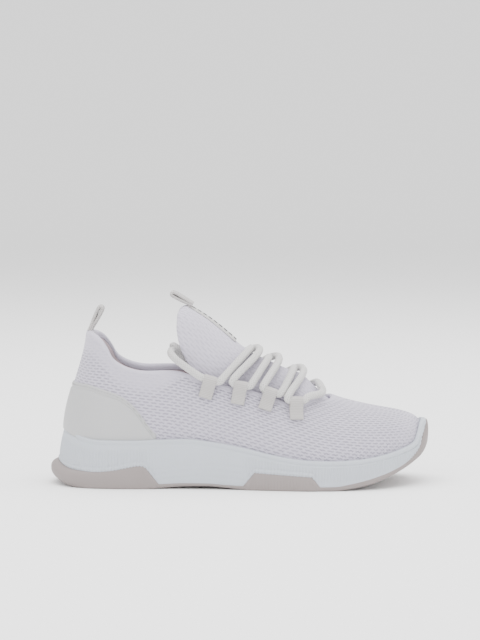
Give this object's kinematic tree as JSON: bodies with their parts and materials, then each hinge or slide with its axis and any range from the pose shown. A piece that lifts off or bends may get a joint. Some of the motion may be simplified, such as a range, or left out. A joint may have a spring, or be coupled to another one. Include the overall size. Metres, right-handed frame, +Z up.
{
  "type": "running shoe",
  "caption": "Low running shoe, right foot: foam midsole on rubber tread, sock-fit knit mesh upper with padded collar and tongue, webbing loops and a round lace.",
  "frame": {"origin": "centre of the bounding box of the footprint, on the ground the shoe stands on", "axes": "+X towards the toe, +Y towards the medial (big-toe) side of this right shoe, +Z up"},
  "size_m": [0.2972, 0.1087, 0.1501],
  "materials": {
    "sole_rubber": "moulded, fine grain",
    "midsole_foam": "moulded foam skin",
    "board": "non-woven board",
    "insole_foam": "open foam",
    "insole_cloth": "fine knit",
    "upper_mesh": "open knit mesh",
    "lining": "soft tricot",
    "padding": "open foam",
    "stiffener": "pressed board",
    "overlay": "smooth coated",
    "tongue_knit": "knit mesh",
    "webbing": "woven tape",
    "strip": "woven two-tone tape",
    "lace_braid": "round braid",
    "aglet": "clear film over white"
  },
  "bodies": {
    "rearfoot": {"tread_block_heel_1_lateral": "sole_rubber", "tread_block_heel_1_medial": "sole_rubber", "tread_block_heel_2_lateral": "sole_rubber", "tread_block_heel_2_medial": "sole_rubber", "tread_block_ball_1_lateral": "sole_rubber", "tread_block_ball_1_medial": "sole_rubber", "tread_block_ball_2_lateral": "sole_rubber", "tread_block_ball_2_medial": "sole_rubber", "tread_block_ball_3_lateral": "sole_rubber", "tread_block_ball_3_medial": "sole_rubber", "outsole_rear": "sole_rubber", "midsole_rear": "midsole_foam", "strobel_board_rear": "board", "insole_rear": "insole_foam", "insole_cloth_rear": "insole_cloth", "mesh_quarters": "upper_mesh", "lining_quarters": "lining", "collar_foam": "padding", "heel_counter": "stiffener", "heel_overlay": "overlay", "eyestay_lateral": "stiffener", "eyestay_medial": "stiffener", "mesh_vamp": "upper_mesh", "mesh_vamp_flex": "upper_mesh", "lining_vamp": "lining", "lining_vamp_flex": "lining", "tongue_face_lower": "tongue_knit", "tongue_foam_lower": "padding", "tongue_lining_lower": "lining", "lace_loop_lateral_1": "webbing", "lace_loop_lateral_2": "webbing", "lace_loop_lateral_3": "webbing", "lace_loop_lateral_4": "webbing", "lace_loop_medial_1": "webbing", "lace_loop_medial_2": "webbing", "lace_loop_medial_3": "webbing", "lace_loop_medial_4": "webbing", "lace": "lace_braid", "aglet_lateral": "aglet", "aglet_medial": "aglet"},
    "toe": {"outsole_toe": "sole_rubber", "midsole_toe": "midsole_foam", "strobel_board_toe": "board", "insole_toe": "insole_foam", "insole_cloth_toe": "insole_cloth", "mesh_toe_box": "upper_mesh", "lining_toe": "lining"},
    "tongue": {"tongue_face_flap": "tongue_knit", "tongue_foam_flap": "padding", "tongue_lining_flap": "lining", "tongue_strip": "strip"},
    "heel_pull": {"heel_tab": "webbing"},
    "tongue_pull": {"tongue_tab": "webbing"}
  },
  "joints": [
    {"name": "toe_flex", "type": "hinge", "parent": "rearfoot", "child": "toe", "pos_m": [0.076, 0, 0.0232], "axis": [0, -1, 0], "range_deg": [0, 30], "stiffness_Nm_per_rad": 8, "deforming": ["mesh_vamp_flex", "lining_vamp_flex"]},
    {"name": "tongue_flex", "type": "hinge", "parent": "rearfoot", "child": "tongue", "pos_m": [0, 0, 0.1084], "axis": [0, 1, 0], "range_deg": [0, 25], "stiffness_Nm_per_rad": 0.4},
    {"name": "heel_pull_flex", "type": "hinge", "parent": "rearfoot", "child": "heel_pull", "pos_m": [-0.1156, 0, 0.1236], "axis": [0, 1, 0], "range_deg": [-25, 25], "stiffness_Nm_per_rad": 0.02},
    {"name": "tongue_pull_flex", "type": "hinge", "parent": "tongue", "child": "tongue_pull", "pos_m": [-0.0391, 0, 0.1407], "axis": [0, 1, 0], "range_deg": [0, 40], "stiffness_Nm_per_rad": 0.02}
  ]
}
